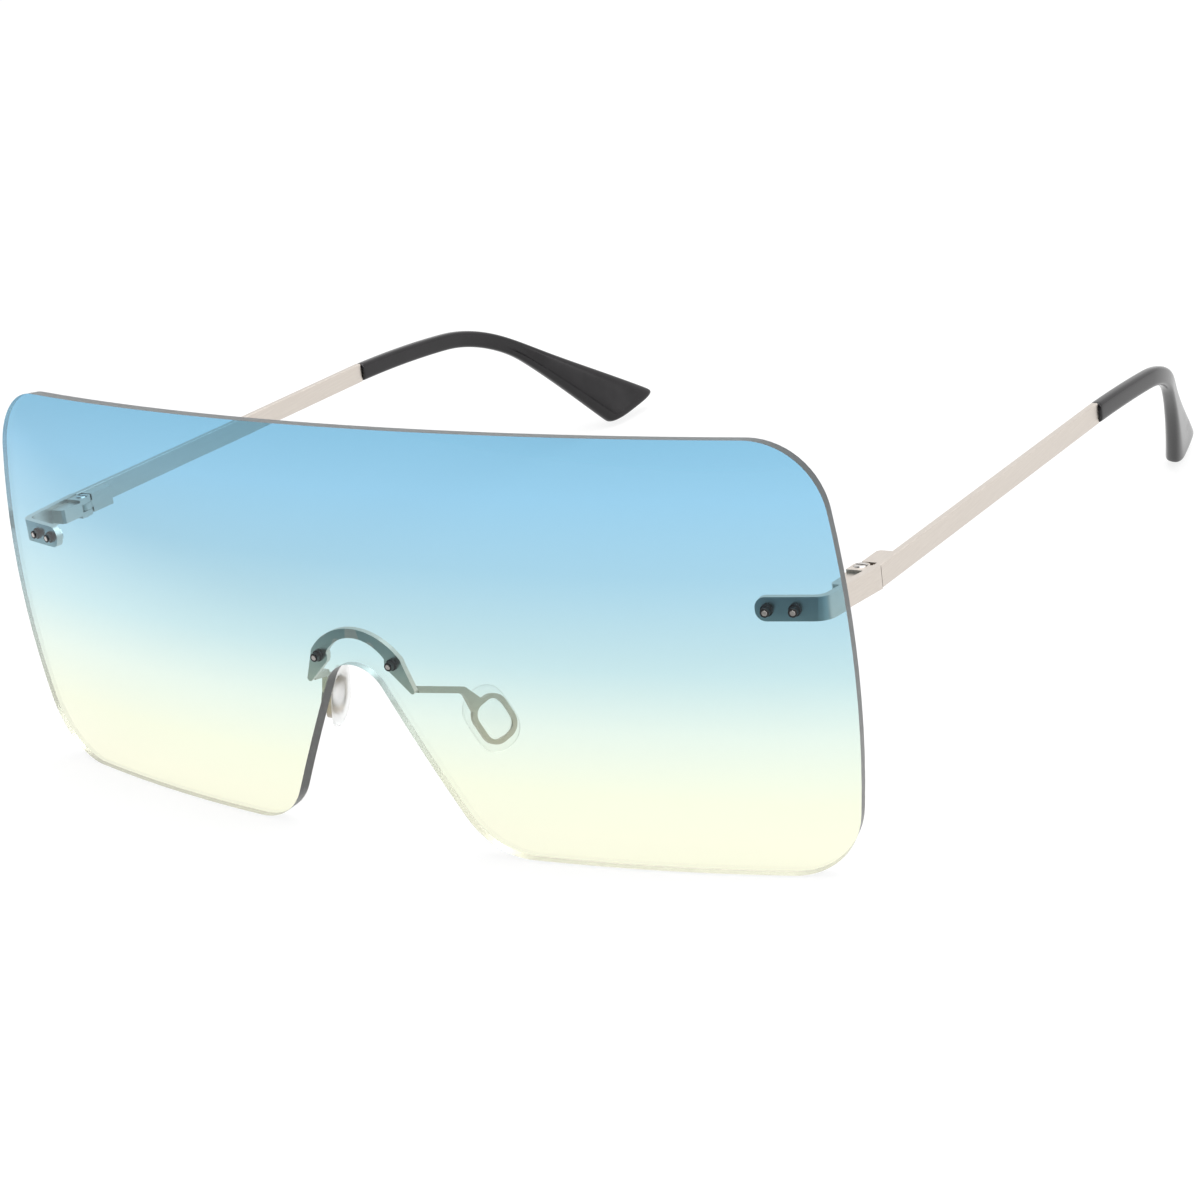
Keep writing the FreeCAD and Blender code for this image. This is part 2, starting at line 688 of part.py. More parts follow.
def make_endpiece():
    body = new_body("endpiece_strip")
    thickness = size.endpiece_thickness
    inward = size.endpiece_plate_inner_length
    end = (endpiece_plate_x - plate_cosine * inward, plate_y - plate_sine * inward)
    end_behind = (end[0] - plate_sine * thickness, end[1] + plate_cosine * thickness)
    bend = (endpiece_bend_x, bend_y)
    inner_x = endpiece_outer_x - arm_wall
    run = inner_x - end_behind[0] + (end_behind[1] - butt_y) * arm_lean
    reach = run / (1 - arm_lean * plate_slope)
    inner_bend = (end_behind[0] + reach, end_behind[1] + reach * plate_slope)
    outline = [end, bend, (endpiece_outer_x, butt_y), (inner_x, butt_y), inner_bend, end_behind]
    bottom = endpiece_level - size.endpiece_height / 2
    sketch = draw_outline(new_sketch(body, "XY_Plane", "endpiece_plan", bottom), outline)
    strip = extrude(body, "Pad", "endpiece_pad", sketch, size.endpiece_height)
    strip = finish_edges(body, "Fillet", "endpiece_bend", strip, upright_lines([bend]),
                         size.endpiece_bend_radius)
    strip = finish_edges(body, "Fillet", "endpiece_inner_bend", strip, upright_lines([inner_bend]),
                         size.endpiece_bend_radius - thickness)
    back = V(-plate_sine.value, plate_cosine.value, 0)
    tops = [(V(end[0].value, end[1].value, height.value), back)
            for height in (bottom, bottom + size.endpiece_height)]
    finish_edges(body, "Fillet", "endpiece_round_end", strip, tops, size.endpiece_end_radius)
    trimmed = boolean("Common", "endpiece_seated", body, ball("endpiece_sphere", seat_radius))
    return boolean("Cut", "left_endpiece", trimmed, endpiece_holes)


# Hinge, drawn in plan about its pin: X outwards, Y back, Z up

hinge_middle = endpiece_level
hinge_bottom = hinge_middle - size.hinge_height / 2
pin_place = V((endpiece_outer_x - size.hinge_pin_inset).value, size.hinge_pin_y.value, 0)
fork_frame = FreeCAD.Placement(pin_place, FreeCAD.Rotation())
temple_frame = FreeCAD.Placement(pin_place, FreeCAD.Rotation(UP, size.temple_toe_in_angle.value))
slot_height = size.hinge_knuckle_height + size.knuckle_side_clearance * 2


def round_about_pin(body, kind, name, radius, bottom, length):
    """A barrel or a bore about the hinge's pin."""
    sketch = draw_circle(new_sketch(body, "XY_Plane", f"{name}_circle", bottom), ZERO, ZERO, radius)
    return extrude(body, kind, name, sketch, length, reverse=kind == "Pocket")


def make_fork():
    body = new_body("left_hinge_fork")
    barrel = size.hinge_barrel_radius
    end = size.hinge_butt_setback - size.butt_gap / 2
    spine = size.hinge_pin_inset - arm_wall - size.seat_clearance
    leaf_spine = spine - (size.hinge_fork_length + end) * arm_lean
    front, step = -size.hinge_fork_length, -size.hinge_fork_barrel_length
    step_spine = spine - (size.hinge_fork_barrel_length + end) * arm_lean
    leaf = [(-barrel, front), (leaf_spine, front), (step_spine, step), (-barrel, step)]
    bottom = hinge_middle - size.hinge_fork_leaf_height / 2
    sketch = draw_outline(new_sketch(body, "XY_Plane", "fork_leaf_plan", bottom), leaf)
    block = extrude(body, "Pad", "fork_leaf", sketch, size.hinge_fork_leaf_height)
    finish_edges(body, "Chamfer", "fork_chamfer", block, upright_lines([leaf[0]]), size.hinge_fork_chamfer)
    plan = [(-barrel, step), (step_spine, step), (spine, end), (barrel, end), (barrel, ZERO), (-barrel, ZERO)]
    sketch = draw_outline(new_sketch(body, "XY_Plane", "fork_plan", hinge_bottom), plan)
    extrude(body, "Pad", "fork_block", sketch, size.hinge_height)
    round_about_pin(body, "Pad", "fork_barrel", barrel, hinge_bottom, size.hinge_height)
    reach = barrel + size.cut_overrun
    back = -barrel - size.barrel_clearance
    past = spine + size.cut_overrun
    slot = [(-reach, back), (past, back), (past, reach), (-reach, reach)]
    slot_bottom = hinge_middle - slot_height / 2
    sketch = draw_outline(new_sketch(body, "XY_Plane", "fork_slot_plan", slot_bottom), slot)
    extrude(body, "Pocket", "fork_slot", sketch, slot_height, reverse=True)
    round_about_pin(body, "Pocket", "fork_bore", size.hinge_screw_radius + size.running_clearance,
                    hinge_bottom - size.cut_overrun, size.hinge_height + size.cut_overrun * 2)
    sink = size.hinge_screw_head_height - size.hinge_screw_head_proud
    round_about_pin(body, "Pocket", "fork_head_seat", size.hinge_screw_head_radius + size.running_clearance,
                    hinge_bottom + size.hinge_height - sink, sink + size.cut_overrun)
    body.Placement = fork_frame
    return body


def make_knuckle():
    body = new_body("left_hinge_knuckle")
    front = size.hinge_barrel_radius + size.barrel_clearance
    inside = -size.hinge_leaf_inset
    seat = size.hinge_pin_inset - size.temple_thickness - size.seat_clearance
    leaf = [(inside, front), (seat, front), (seat, front + size.hinge_leaf_length),
            (inside, front + size.hinge_leaf_length)]
    sketch = draw_outline(new_sketch(body, "XY_Plane", "leaf_plan", hinge_bottom), leaf)
    block = extrude(body, "Pad", "leaf_block", sketch, size.hinge_height)
    finish_edges(body, "Chamfer", "leaf_chamfer", block, upright_lines([leaf[3]]), size.hinge_fork_chamfer)
    bottom = hinge_middle - size.hinge_knuckle_height / 2
    barrel = size.hinge_barrel_radius
    web = [(inside, front), (-barrel, ZERO), (barrel, ZERO), (barrel, front)]
    sketch = draw_outline(new_sketch(body, "XY_Plane", "knuckle_plan", bottom), web)
    extrude(body, "Pad", "knuckle_web", sketch, size.hinge_knuckle_height)
    round_about_pin(body, "Pad", "knuckle_barrel", barrel, bottom, size.hinge_knuckle_height)
    round_about_pin(body, "Pocket", "knuckle_bore", size.hinge_screw_radius + size.running_clearance,
                    bottom - size.cut_overrun, size.hinge_knuckle_height + size.cut_overrun * 2)
    body.Placement = temple_frame
    return body


def make_hinge_screw():
    body = new_body("left_hinge_screw")
    shank, head, broken = size.hinge_screw_radius, size.hinge_screw_head_radius, size.lens_screw_edge_break
    top = hinge_bottom + size.hinge_height + size.hinge_screw_head_proud
    under = top - size.hinge_screw_head_height + size.seat_clearance
    tip = hinge_bottom - size.hinge_screw_tip_proud
    profile = [(ZERO, tip), (shank - broken, tip), (shank, tip + broken), (shank, under), (head, under),
               (head, top - broken), (head - broken, top), (ZERO, top)]
    revolve(body, "hinge_screw_turn", profile)
    reach, half = head + size.cut_overrun, size.hinge_screw_slot_width / 2
    slot = [(-reach, -half), (reach, -half), (reach, half), (-reach, half)]
    depth = size.hinge_screw_slot_depth
    sketch = draw_outline(new_sketch(body, "XY_Plane", "hinge_screw_slot_plan", top - depth), slot)
    extrude(body, "Pocket", "hinge_screw_slot", sketch, depth + size.cut_overrun, reverse=True)
    body.Placement = fork_frame
    return body


# Temple and tip, drawn about the hinge pin: X outwards, Y back, Z up

temple_rise = size.temple_rise / size.temple_length
temple_middle_x = size.hinge_pin_inset - size.temple_thickness / 2


def temple_height_at(along):
    return endpiece_level + temple_rise * along


def side_bar(body, name, thickness, height, start, stop):
    """A straight bar along the temple's middle line, drawn from the side."""
    half = height / 2
    corners = [(start, temple_height_at(start) - half), (stop, temple_height_at(stop) - half),
               (stop, temple_height_at(stop) + half), (start, temple_height_at(start) + half)]
    sketch = new_sketch(body, "YZ_Plane", f"{name}_side", temple_middle_x - thickness / 2)
    return extrude(body, "Pad", name, draw_outline(sketch, corners), thickness)


def make_temple():
    body = new_body("left_temple")
    strip = side_bar(body, "temple_strip", size.temple_thickness, size.temple_height,
                     size.hinge_butt_setback + size.butt_gap / 2, size.temple_length)
    along = V(0, 1, temple_rise.value)
    lines = []
    for side in (-1, 1):
        for up in (-1, 1):
            across = temple_middle_x + size.temple_thickness / 2 * side
            height = temple_height_at(ZERO) + size.temple_height / 2 * up
            lines.append((V(across.value, 0, height.value), along))
    finish_edges(body, "Fillet", "temple_soft_edges", strip, lines, size.temple_edge_radius)
    side_bar(body, "temple_core", size.temple_core_thickness, size.temple_core_height,
             size.temple_length - size.temple_core_thickness, size.temple_length + size.temple_core_length)
    body.Placement = temple_frame
    return body


tip_lead = size.tip_lead_length.value
tip_bend = math.radians(size.tip_bend_angle.value) * size.tip_bend_radius.value
tip_total = tip_lead + tip_bend + size.tip_tail_length.value


def tip_station(travel):
    """Place, direction, upward and outward of the tip's middle line, so far along from its start."""
    along, upward, outward = V(0, 1, temple_rise.value).normalize(), UP, V(1, 0, 0)
    root_y = size.temple_length + size.seat_clearance
    place = V(temple_middle_x.value, root_y.value, temple_height_at(root_y).value)
    roll = math.radians(size.tip_bend_roll_angle.value)
    axle = outward.cross(along) * math.sin(roll) - outward * math.cos(roll)
    for length, radius in ((tip_lead, size.tip_lead_radius.value), (tip_bend, size.tip_bend_radius.value)):
        step = min(travel, length)
        turn = FreeCAD.Rotation(axle, math.degrees(step / radius))
        to_centre = axle.cross(along) * radius
        place = place + to_centre - turn.multVec(to_centre)
        along, upward, outward = (turn.multVec(line) for line in (along, upward, outward))
        travel -= step
    return place + along * travel, along, upward, outward


def tip_section(body, name, travel, tall=as_dim(1), wide=as_dim(1)):
    """A sketch across the tip: a rectangle with its corners cut, a share of the full height and width."""
    place, ahead, upward, outward = tip_station(travel)
    slim = as_dim(min(1, travel / (tip_lead + tip_bend)))
    flare_start = size.tip_flare_start.value
    share = max(0, (travel - flare_start) / (tip_total - flare_start))
    base = size.tip_height + (size.tip_bend_height - size.tip_height) * slim
    height = (base + (size.tip_end_height - base) * share ** TIP_FLARE_POWER) * tall
    width = (size.tip_width + (size.tip_end_width - size.tip_width) * share) * wide
    twist = FreeCAD.Rotation(ahead, size.tip_end_twist_angle.value * share)
    lean = FreeCAD.Rotation(outward, -size.tip_end_slant_angle.value * share)
    turn = twist.multiply(lean)
    frame = FreeCAD.Rotation(turn.multVec(outward), turn.multVec(upward), V(), "XYZ")
    upright = FreeCAD.Rotation(V(1, 0, 0), 90).inverted()
    sketch = new_sketch(body, "XZ_Plane", name)
    sketch.AttachmentOffset = FreeCAD.Placement(upright.multVec(place), upright.multiply(frame))
    cut = size.tip_corner_chamfer * wide * (tall + 1) / 2
    across, along = width / 2, height / 2
    corners = [(cut - across, -along), (across - cut, -along), (across, cut - along), (across, along - cut),
               (across - cut, along), (cut - across, along), (-across, along - cut), (-across, cut - along)]
    return draw_outline(sketch, corners)


def make_tip():
    body = new_body("tip_blank")
    chamfer, rounding = size.tip_start_chamfer, size.tip_end_round.value
    tail = size.tip_tail_length.value - rounding
    travels = [chamfer.value]
    done = 0
    stretches = ((tip_lead, TIP_LEAD_STATIONS), (tip_bend, TIP_BEND_STATIONS), (tail, TIP_TAIL_STATIONS))
    for stretch, count in stretches:
        travels += [done + stretch * step / count for step in range(1, count + 1)]
        done += stretch
    sections = [tip_section(body, f"tip_section_{number}", travel)
                for number, travel in enumerate(travels, start=1)]
    start = tip_section(body, "tip_start_section", 0,
                        1 - chamfer * 2 / size.tip_height, 1 - chamfer * 2 / size.tip_width)
    ends = []
    for number, (depth, tall, wide) in enumerate(TIP_END_SHARES, start=1):
        ends.append(tip_section(body, f"tip_end_section_{number}", done + rounding * depth,
                                as_dim(tall), as_dim(wide)))
    loft(body, "tip_length", sections, ruled=False)
    loft(body, "tip_start", [start, sections[0]], ruled=True)
    loft(body, "tip_end", [sections[-1], *ends], ruled=True)
    gap = size.core_clearance
    core = new_body("tip_core_way")
    side_bar(core, "tip_core_cut", size.temple_core_thickness + gap * 2, size.temple_core_height + gap * 2,
             size.temple_length - size.cut_overrun, size.temple_length + size.temple_core_length + gap)
    hollow = boolean("Cut", "left_temple_tip", body, core)
    hollow.Placement = temple_frame
    return hollow


bridge = make_bridge()
bridge_stack = size.seat_clearance + size.bridge_thickness
bridge_screw = make_screw("left_bridge_screw", bridge_screw_place, bridge_stack)
bridge_screws = group("bridge_screws", [bridge_screw, mirrored("right_bridge_screw", bridge_screw)])
endpiece_screws = group("left_endpiece_screws",
                        [make_screw(f"left_endpiece_screw_{number}", place, size.endpiece_thickness)
                         for number, place in enumerate(endpiece_screw_places, start=1)])
left_pieces = {
    "endpiece": make_endpiece(),
    "endpiece_screws": endpiece_screws,
    "pad_arm": make_pad_arm(),
    "nose_pad": make_nose_pad(),
    "hinge_fork": make_fork(),
    "hinge_screw": make_hinge_screw(),
    "hinge_knuckle": make_knuckle(),
    "temple": make_temple(),
    "temple_tip": make_tip(),
}


# Rest: lean the pair back about X until the lens and the tips stand on one plane

facet = size.lens_thickness.value * FACET_SIZE_SHARE
lens_points = lens.Shape.tessellate(facet)[0]
tip_points = left_pieces["temple_tip"].Shape.tessellate(facet)[0]


def leaned(points, angle):
    lean = FreeCAD.Rotation(V(1, 0, 0), -angle)
    return [lean.multVec(point) for point in points]


def lowest(points, angle):
    return min(point.z for point in leaned(points, angle))


level, steep = 0.0, REST_STEEPEST_ANGLE
for _ in range(REST_STEPS):
    rest_angle = (level + steep) / 2
    if lowest(lens_points, rest_angle) < lowest(tip_points, rest_angle):
        level = rest_angle
    else:
        steep = rest_angle
standing = leaned(lens_points + tip_points, rest_angle)
middle_y = (min(point.y for point in standing) + max(point.y for point in standing)) / 2
rest = FreeCAD.Placement(V(0, -middle_y, -min(point.z for point in standing)),
                         FreeCAD.Rotation(V(1, 0, 0), -rest_angle))
print(f"rest angle {rest_angle:.3f} degrees, moved by {rest.Base}")

nodes = {"shield_lens": lens, "bridge": bridge, "bridge_screws": bridge_screws}
for name, piece in left_pieces.items():
    nodes[f"left_{name}"] = piece
for piece in nodes.values():
    piece.Placement = rest.multiply(piece.Placement)
for name, piece in left_pieces.items():
    nodes[f"right_{name}"] = mirrored(f"right_{name}", piece)
for name, piece in nodes.items():
    piece.Label = name
doc.recompute()

for item in doc.Objects:
    if "Invalid" in item.State or "Error" in item.State:
        raise ValueError(f"{item.Name} failed: {item.State}")
for name, piece in nodes.items():
    if piece.Label != name or piece.Shape.isNull() or not piece.Shape.isValid():
        raise ValueError(f"{name} has no sound shape")
os.makedirs("parts", exist_ok=True)
for name, piece in nodes.items():
    piece.Shape.exportStep(f"parts/{name}.step")
    box = piece.Shape.BoundBox
    print(f"{name}: {len(piece.Shape.Solids)} solid(s), {piece.Shape.Volume:.1f} mm3, "
          f"{box.XLength:.1f} by {box.YLength:.1f} by {box.ZLength:.1f} mm")
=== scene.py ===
# %% [markdown]
# # Rimless shield sunglasses
# One wide curved lens does the work of a frame: a small bridge, two endpieces and six screws hang on it,
# and two folding temples carry black moulded tips.
# The metal, the lens and the screws come ready shaped as solids.
# This lesson gives them their finishes, models the bushes round the screws, the tips and the soft nose pads,
# and sets up a small studio.

# %% Load the solids
import json
import math

import bpy
from mathutils import Matrix, Vector


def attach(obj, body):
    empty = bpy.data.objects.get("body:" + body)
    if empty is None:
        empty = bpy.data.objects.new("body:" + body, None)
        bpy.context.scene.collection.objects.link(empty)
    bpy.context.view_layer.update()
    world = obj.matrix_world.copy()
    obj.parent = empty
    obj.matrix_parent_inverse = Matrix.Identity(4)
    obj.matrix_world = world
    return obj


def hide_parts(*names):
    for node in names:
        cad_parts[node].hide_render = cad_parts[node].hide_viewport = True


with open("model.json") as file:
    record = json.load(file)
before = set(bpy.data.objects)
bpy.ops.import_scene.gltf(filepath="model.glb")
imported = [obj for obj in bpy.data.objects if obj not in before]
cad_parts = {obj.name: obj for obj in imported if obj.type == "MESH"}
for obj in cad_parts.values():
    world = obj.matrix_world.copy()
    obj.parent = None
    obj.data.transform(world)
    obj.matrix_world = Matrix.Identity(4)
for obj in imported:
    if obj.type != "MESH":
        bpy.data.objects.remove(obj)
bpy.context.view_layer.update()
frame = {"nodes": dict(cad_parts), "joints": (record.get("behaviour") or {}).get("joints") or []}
nodes = frame["nodes"]
print("solids:", ", ".join(sorted(nodes)))

# %% [markdown]
# The pair stands leaning back, on the lens's lower edge and the tips.
# Its pieces are easier to think of in the wearing frame, where the lens is upright, X points to the
# wearer's left, Y back along the temples and Z up, with the origin on the middle of the lens.
# The left hinge is known in both frames, so its axis gives the lean and its pin gives the shift.
# Two helpers write shifts in millimetres and turns in degrees, as on a drawing.

# %% The wearing frame
MM = 0.001
LEFT_PIN = (70.2787, 23.65, 7.7)


def moved(place):
    return Matrix.Translation(Vector(place) * MM)


def turned(degrees, axis):
    return Matrix.Rotation(math.radians(degrees), 4, axis)


left_fold = next(joint for joint in frame["joints"] if joint["name"] == "left_fold")
lean = Matrix.Rotation(-math.atan2(left_fold["axis"][1], left_fold["axis"][2]), 4, "X")
wearing = Matrix.Translation(Vector(left_fold["pos_m"]) - lean @ (Vector(LEFT_PIN) * MM)) @ lean
print("leans back by", round(math.degrees(-lean.to_euler().x), 2), "degrees")

# %% [markdown]
# A product photographer stands a little to the side and above, with a long lens.
# The camera turns about a point between the lens and the left temple, tilts a little, and stays 40 cm away.
# Its angles and distance were found by matching the lens's outline and the screws, and they are given in
# the wearing frame, so that they don't change with the lean.

# %% Camera
FRAME_PIXELS = 1200
FOCAL_PIXELS = 2971.9
CAMERA_AIM = (37.32, 10.0, 6.31)
CAMERA_SWING, CAMERA_RISE, CAMERA_TILT = 36.73, 19.203, -7.801
CAMERA_DISTANCE = 0.4
camera_data = bpy.data.cameras.new("studio_camera")
camera_data.sensor_width = 36.0
camera_data.lens = camera_data.sensor_width * FOCAL_PIXELS / FRAME_PIXELS
camera_data.clip_start = 0.01
camera = bpy.data.objects.new("studio_camera", camera_data)
bpy.context.scene.collection.objects.link(camera)
look = turned(CAMERA_SWING, "Z") @ turned(90 - CAMERA_RISE, "X")
stand_back = Matrix.Translation((0, 0, CAMERA_DISTANCE))
camera.matrix_world = wearing @ moved(CAMERA_AIM) @ look @ turned(CAMERA_TILT, "Z") @ stand_back
bpy.context.scene.camera = camera
print("camera at", [round(value, 3) for value in camera.matrix_world.translation])

# %% [markdown]
# Colours are easiest to pick as they look on a screen, but the renderer counts light.
# This helper turns a screen colour into the amount of light that the shader wants.
# The plain Standard view then shows a colour as it was picked.

# %% Screen colours
def tone(red, green, blue):
    light = []
    for level in (red, green, blue):
        share = level / 255
        light.append(share / 12.92 if share <= 0.04045 else ((share + 0.055) / 1.055) ** 2.4)
    return (*light, 1.0)


bpy.context.scene.view_settings.view_transform = "Standard"
print("middle grey is", round(tone(128, 128, 128)[0], 3), "of the light")

# %% [markdown]
# A finish is a small graph of nodes. It could be wired by hand in the shader editor, and these helpers do
# the same steps: add a node with its settings and values, start a finish, and put it on ready pieces.

# %% Node and finish helpers
def add_node(tree, kind, values=None, **settings):
    node = tree.nodes.new(kind)
    for name, setting in settings.items():
        setattr(node, name, setting)
    for socket, value in (values or {}).items():
        node.inputs[socket].default_value = value
    return node


def new_finish(name):
    material = bpy.data.materials.new(name)
    material.use_nodes = True
    return material, material.node_tree, material.node_tree.nodes["Principled BSDF"]


def put_on(material, *names):
    for name in names:
        nodes[name].data.materials.clear()
        nodes[name].data.materials.append(material)
    print(material.name, "on", len(names), "pieces")


# %% [markdown]
# Plated strip metal is brushed along its length before it is bent.
# The grain is noise drawn out along Y, the way the temples run, so one group serves every metal piece.
# It gives a grain mask, which a material uses for its colour, its roughness and a very small bump.

# %% Shared effect: brushed grain
GRAIN_FINENESS = 6000.0
GRAIN_DRAWN_OUT = (1.0, 0.03, 1.0)


def make_group(name, value_name, value, mask_name):
    """A node group that turns a place on a piece and one value into a mask."""
    group = bpy.data.node_groups.new(name, "ShaderNodeTree")
    group.interface.new_socket("Vector", in_out="INPUT", socket_type="NodeSocketVector")
    setting = group.interface.new_socket(value_name, in_out="INPUT", socket_type="NodeSocketFloat")
    setting.default_value = value
    group.interface.new_socket(mask_name, in_out="OUTPUT", socket_type="NodeSocketFloat")
    return group, group.nodes.new("NodeGroupInput"), group.nodes.new("NodeGroupOutput")


brushed_grain, grain_in, grain_out = make_group("brushed_grain", "Fineness", GRAIN_FINENESS, "Grain")
drawn = add_node(brushed_grain, "ShaderNodeMapping", {"Scale": GRAIN_DRAWN_OUT})
scratches = add_node(brushed_grain, "ShaderNodeTexNoise", {"Detail": 3.0})
brushed_grain.links.new(grain_in.outputs["Vector"], drawn.inputs["Vector"])
brushed_grain.links.new(drawn.outputs["Vector"], scratches.inputs["Vector"])
brushed_grain.links.new(grain_in.outputs["Fineness"], scratches.inputs["Scale"])
brushed_grain.links.new(scratches.outputs["Fac"], grain_out.inputs["Grain"])
print("group", brushed_grain.name)

# %% [markdown]
# Handled things are never evenly shiny. Fingers leave broad, soft marks on tips and pads, and tools leave
# small ones on screws.
# A slow noise with a little fine noise on it makes such a mask, and each material decides how far it counts.

# %% Shared effect: handling marks
MARKS_SPREAD = 90.0
handling_marks, marks_in, marks_out = make_group("handling_marks", "Spread", MARKS_SPREAD, "Marks")
smears = add_node(handling_marks, "ShaderNodeTexNoise", {"Detail": 5.0, "Roughness": 0.6})
contrast = add_node(handling_marks, "ShaderNodeMapRange", {"From Min": 0.35, "From Max": 0.7},
                    interpolation_type="SMOOTHSTEP")
handling_marks.links.new(marks_in.outputs["Vector"], smears.inputs["Vector"])
handling_marks.links.new(marks_in.outputs["Spread"], smears.inputs["Scale"])
handling_marks.links.new(smears.outputs["Fac"], contrast.inputs["Value"])
handling_marks.links.new(contrast.outputs["Result"], marks_out.inputs["Marks"])
print("group", handling_marks.name)

# %% [markdown]
# A mask is of use only when it moves something. These helpers place a group on a piece's own coordinates,
# and let its mask run a value or a colour from one end to the other.
# Finishes that differ only in their numbers then share one function.

# %% Finishes that follow a mask
def place_group(tree, group, **values):
    """A node group fed with Object coordinates."""
    node = add_node(tree, "ShaderNodeGroup", node_tree=group)
    where = add_node(tree, "ShaderNodeTexCoord")
    tree.links.new(where.outputs["Object"], node.inputs["Vector"])
    for name, value in values.items():
        node.inputs[name].default_value = value
    return node


def spread_between(tree, mask, low, high):
    """A value that runs from low to high as a mask goes from nought to one."""
    scale = add_node(tree, "ShaderNodeMapRange", {"To Min": low, "To Max": high})
    tree.links.new(mask, scale.inputs["Value"])
    return scale.outputs["Result"]


def blend_colours(tree, mask, first, second):
    """A colour that runs from the first to the second as a mask goes from nought to one."""
    ramp = add_node(tree, "ShaderNodeValToRGB")
    ramp.color_ramp.elements[0].color = first
    ramp.color_ramp.elements[1].color = second
    tree.links.new(mask, ramp.inputs["Fac"])
    return ramp.outputs["Color"]


def handled_finish(name, spread, colours, roughness):
    """A finish whose colour and roughness follow the handling marks."""
    material, tree, shader = new_finish(name)
    marks = place_group(tree, handling_marks, Spread=spread).outputs["Marks"]
    tree.links.new(blend_colours(tree, marks, *colours), shader.inputs["Base Color"])
    tree.links.new(spread_between(tree, marks, *roughness), shader.inputs["Roughness"])
    return material, shader


# %% [markdown]
# The bridge, endpieces, hinges and temples are warm silver plating on steel, brushed to a satin shine.
# A metal has hardly any colour of its own beyond what it mirrors, so the base is a light warm grey,
# and the grain moves the roughness more than the colour.

# %% Finish: brushed silver
SATIN_ROUGHNESS = (0.26, 0.42)
GRAIN_BUMP = {"Strength": 0.12, "Distance": 0.03 * MM}
SIDES = ("left", "right")


def brushed_metal(name, dull, bright):
    material, tree, shader = new_finish(name)
    grain = place_group(tree, brushed_grain).outputs["Grain"]
    tree.links.new(blend_colours(tree, grain, dull, bright), shader.inputs["Base Color"])
    tree.links.new(spread_between(tree, grain, *SATIN_ROUGHNESS), shader.inputs["Roughness"])
    shader.inputs["Metallic"].default_value = 1.0
    bump = add_node(tree, "ShaderNodeBump", GRAIN_BUMP)
    tree.links.new(grain, bump.inputs["Height"])
    tree.links.new(bump.outputs["Normal"], shader.inputs["Normal"])
    return material


def on_both_sides(*pieces):
    return [f"{side}_{piece}" for side in SIDES for piece in pieces]


silver = brushed_metal("brushed_silver", tone(206, 197, 188), tone(224, 216, 207))
put_on(silver, "bridge", *on_both_sides("endpiece", "hinge_fork", "hinge_knuckle", "temple"))

# %% [markdown]
# The pad arms are stamped from a softer alloy that an optician can bend to the nose.
# They could share the silver, but the alloy is a little darker, so the same function makes a second finish.

# %% Finish: pad arm alloy
arm_alloy = brushed_metal("pad_arm_alloy", tone(172, 164, 152), tone(190, 182, 170))
put_on(arm_alloy, *on_both_sides("pad_arm"))

# %% [markdown]
# The screws are turned from bare steel and polished, so their ends show as small bright points.
# They have no grain along one way, so their shine follows the handling marks, drawn very small.

# %% Finish: polished screw steel
screw_steel, shader = handled_finish("polished_screw_steel", spread=2500.0, roughness=(0.15, 0.28),
                                     colours=(tone(196, 192, 188), tone(220, 216, 212)))
shader.inputs["Metallic"].default_value = 1.0
put_on(screw_steel, "bridge_screws", *on_both_sides("endpiece_screws", "hinge_screw"))

# %% [markdown]
# A drilled lens cracks where steel bears on it, so a black nylon bush lines each hole and widens towards
# the metal. It could be cut from a cylinder, but a ring that is extruded along its profile and closed on
# itself keeps every wall in one clean mesh. It is drawn about the Z axis, as a pattern for six copies.

# %% Lens bush: the pattern
BUSH_SEGMENTS = 32
BUSH_SMOOTH_ANGLE = 40
# Radius and depth behind the front of the lens, in mm, from the front lip all the way round.
BUSH_PROFILE = ((0.4, -0.12), (0.58, -0.12), (0.64, -0.05), (0.64, 1.3), (0.86, 1.45), (0.86, 2.13),
                (0.52, 2.13), (0.52, 0.05), (0.4, -0.12))


def start_shaping():
    """Enter edit mode with the whole mesh selected."""
    bpy.ops.object.mode_set(mode="EDIT")
    bpy.ops.mesh.select_all(action="SELECT")


def stop_shaping():
    """Turn all faces outwards and leave edit mode."""
    bpy.ops.mesh.select_all(action="SELECT")
    bpy.ops.mesh.normals_make_consistent(inside=False)
    bpy.ops.object.mode_set(mode="OBJECT")


def draw_out(steps):
    """Extrude the selection from the first step's level and size through the others, along Z."""
    level_now, wide_now, tall_now = steps[0]
    for level, wide, tall in steps[1:]:
        bpy.ops.mesh.extrude_region_move(TRANSFORM_OT_translate={"value": (0, 0, level - level_now)})
        bpy.ops.transform.resize(value=(wide / wide_now, tall / tall_now, 1.0), center_override=(0, 0, level))
        level_now, wide_now, tall_now = level, wide, tall


bush_steps = [(depth * MM, radius * MM, radius * MM) for radius, depth in BUSH_PROFILE]
first_depth, first_radius, _ = bush_steps[0]
bpy.ops.object.select_all(action="DESELECT")
bpy.ops.mesh.primitive_circle_add(vertices=BUSH_SEGMENTS, radius=first_radius)
bush_pattern = bpy.context.object
start_shaping()
bpy.ops.transform.translate(value=(0, 0, first_depth))
draw_out(bush_steps)
bpy.ops.mesh.select_all(action="SELECT")
bpy.ops.mesh.remove_doubles(threshold=0.001 * MM)
stop_shaping()
bpy.ops.object.shade_smooth_by_angle(angle=math.radians(BUSH_SMOOTH_ANGLE))
print("bush has", len(bush_pattern.data.polygons), "faces")

# %% [markdown]
# Pieces that come in pairs are made once. A copy gets a mesh of its own, and the right twin is the left one
# scaled by minus one across the middle. That turns its faces inside out, so they are turned back.

